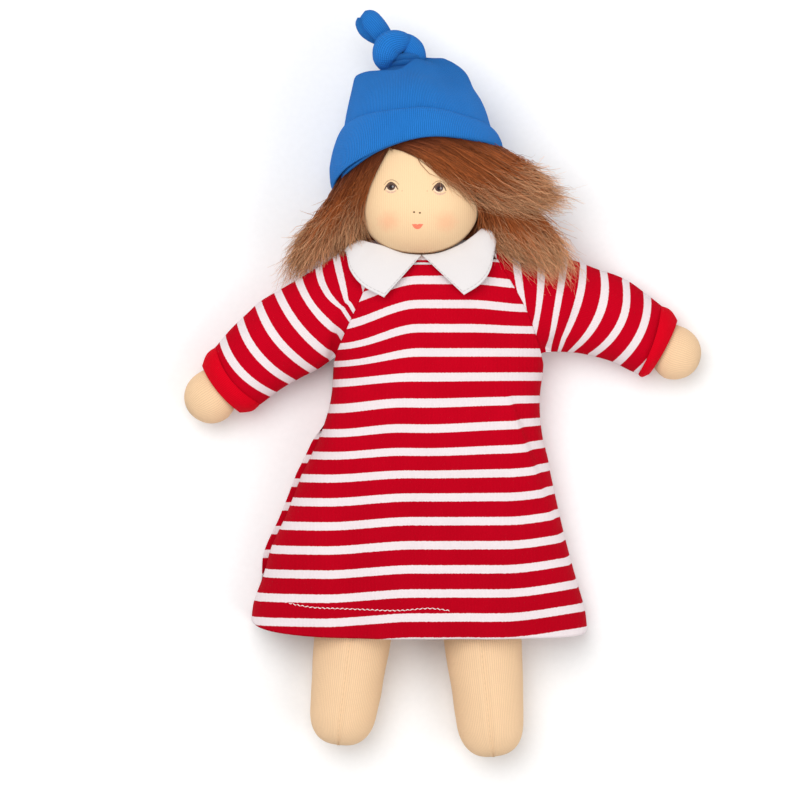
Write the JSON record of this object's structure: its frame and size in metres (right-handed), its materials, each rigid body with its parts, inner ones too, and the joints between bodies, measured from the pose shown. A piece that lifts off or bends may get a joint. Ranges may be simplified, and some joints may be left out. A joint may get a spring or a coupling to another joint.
{
  "type": "cloth doll",
  "caption": "Soft cloth doll with a round stuffed head, wool hair, knitted hat, striped jersey dress with raglan sleeves and footless legs; head, arms, hips and hat move.",
  "frame": {"origin": "middle of the doll's box, on the surface that it lies on", "axes": "+Y runs from the legs to the hat, +Z comes out of the face, and the doll lies on its back"},
  "size_m": [0.2892, 0.4197, 0.0939],
  "materials": {
    "skin_jersey": "matte fine knit",
    "wool_hair": "frizzy wool",
    "blue_rib_knit": "matte rib knit",
    "striped_jersey": "matte jersey with white stripes",
    "red_rib_knit": "matte rib knit",
    "white_cotton": "matte weave",
    "face_paint": "painted on cloth",
    "lip_paint": "painted on cloth",
    "thread": "matte thread"
  },
  "bodies": {
    "torso": {"torso": "skin_jersey", "bodice_front": "striped_jersey", "bodice_back_left": "striped_jersey", "bodice_back_right": "striped_jersey", "back_tape": "white_cotton", "neck_binding": "white_cotton", "collar_left": "white_cotton", "collar_right": "white_cotton"},
    "neck": {"neck": "skin_jersey", "neck_tie": "thread"},
    "head": {"head": "skin_jersey", "eye_left": "face_paint", "eye_right": "face_paint", "mouth": "lip_paint", "hair_cap": "wool_hair", "hair_back": "wool_hair", "hair_left": "wool_hair", "hair_right": "wool_hair"},
    "hat": {"hat_crown": "blue_rib_knit", "hat_cuff": "blue_rib_knit", "hat_knot": "blue_rib_knit", "hat_tail": "blue_rib_knit"},
    "arm_left": {"arm_left": "skin_jersey", "sleeve_left": "striped_jersey", "cuff_left": "red_rib_knit"},
    "arm_right": {"arm_right": "skin_jersey", "sleeve_right": "striped_jersey", "cuff_right": "red_rib_knit"},
    "lap": {"seat": "skin_jersey", "skirt_front": "striped_jersey", "skirt_back": "striped_jersey"},
    "leg_left": {"leg_left": "skin_jersey"},
    "leg_right": {"leg_right": "skin_jersey"}
  },
  "joints": [
    {"name": "neck_nod", "type": "hinge", "parent": "torso", "child": "neck", "pos_m": [-0.0115, 0.063, 0.0332], "axis": [1, 0, 0], "range_deg": [-10, 14], "deforming": ["collar_left", "collar_right"]},
    {"name": "head_turn", "type": "hinge", "parent": "neck", "child": "head", "pos_m": [-0.0115, 0.063, 0.0332], "axis": [0, 1, 0], "range_deg": [-35, 35], "deforming": ["hair_left", "hair_right", "hair_back"]},
    {"name": "hat_pull", "type": "slide", "parent": "head", "child": "hat", "axis": [0, 1, 0], "range_m": [0, 0.12]},
    {"name": "shoulder_left", "type": "hinge", "parent": "torso", "child": "arm_left", "pos_m": [-0.057, 0.041, 0.0225], "axis": [0, 0, 1], "range_deg": [-70, 18], "deforming": ["sleeve_left"]},
    {"name": "shoulder_right", "type": "hinge", "parent": "torso", "child": "arm_right", "pos_m": [0.049, 0.041, 0.0225], "axis": [0, 0, 1], "range_deg": [-27, 56], "deforming": ["sleeve_right"]},
    {"name": "hip_fold", "type": "hinge", "parent": "torso", "child": "lap", "pos_m": [-0.0115, -0.05, 0.052], "axis": [-1, 0, 0], "range_deg": [0, 90]},
    {"name": "leg_left_spread", "type": "hinge", "parent": "lap", "child": "leg_left", "pos_m": [-0.0415, -0.08626, 0.0216], "axis": [0, 0, -1], "range_deg": [-4, 7]},
    {"name": "leg_right_spread", "type": "hinge", "parent": "lap", "child": "leg_right", "pos_m": [0.0185, -0.08626, 0.0216], "axis": [0, 0, 1], "range_deg": [-4, 7]}
  ]
}
